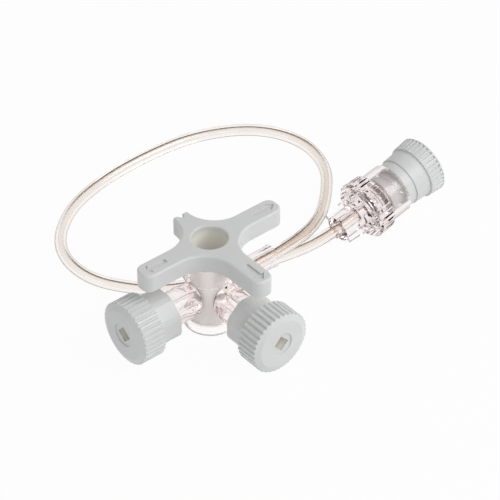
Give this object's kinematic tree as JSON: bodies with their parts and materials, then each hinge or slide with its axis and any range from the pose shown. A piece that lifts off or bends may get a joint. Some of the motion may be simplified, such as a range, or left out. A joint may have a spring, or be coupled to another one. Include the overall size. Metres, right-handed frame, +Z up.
{
  "type": "three way stopcock",
  "caption": "Clear-bodied stopcock with a cross-shaped tap handle, capped luer ports and a looped extension tube ending in a capped luer lock, for joining and switching infusion lines.",
  "frame": {"origin": "on the tap's axis, at the foot of the barrel, which is the resting surface", "axes": "+Z up along the tap's axis, +X towards the tube socket, -X towards the inline luer port, -Y towards the side luer port"},
  "size_m": [0.0771, 0.0681, 0.0197],
  "materials": {
    "clear_plastic": "clear, polished",
    "white_plastic": "satin",
    "clear_tube": "clear, flexible"
  },
  "bodies": {
    "stopcock": {"housing": "clear_plastic", "extension_tube": "clear_tube", "connector_hub": "clear_plastic"},
    "tap": {"handle_plug": "white_plastic"},
    "inline_cap": {"inline_cap": "white_plastic"},
    "side_cap": {"side_cap": "white_plastic"},
    "lock_nut": {"lock_nut": "clear_plastic"},
    "end_cap": {"end_cap": "white_plastic"}
  },
  "joints": [
    {"name": "tap_turn", "type": "hinge", "parent": "stopcock", "child": "tap", "pos_m": [0, 0, 0.0154], "axis": [0, 0, 1], "continuous": true},
    {"name": "inline_cap_off", "type": "slide", "parent": "stopcock", "child": "inline_cap", "axis": [-1, 0, 0], "range_m": [0, 0.012]},
    {"name": "side_cap_off", "type": "slide", "parent": "stopcock", "child": "side_cap", "axis": [0, -1, 0], "range_m": [0, 0.012]},
    {"name": "nut_spin", "type": "hinge", "parent": "stopcock", "child": "lock_nut", "pos_m": [0.0322, 0.00035, 0.0048], "axis": [0.9831, 0.0309, 0.1805], "continuous": true},
    {"name": "end_cap_off", "type": "slide", "parent": "stopcock", "child": "end_cap", "axis": [0.9831, 0.0309, 0.1805], "range_m": [0, 0.012]}
  ]
}
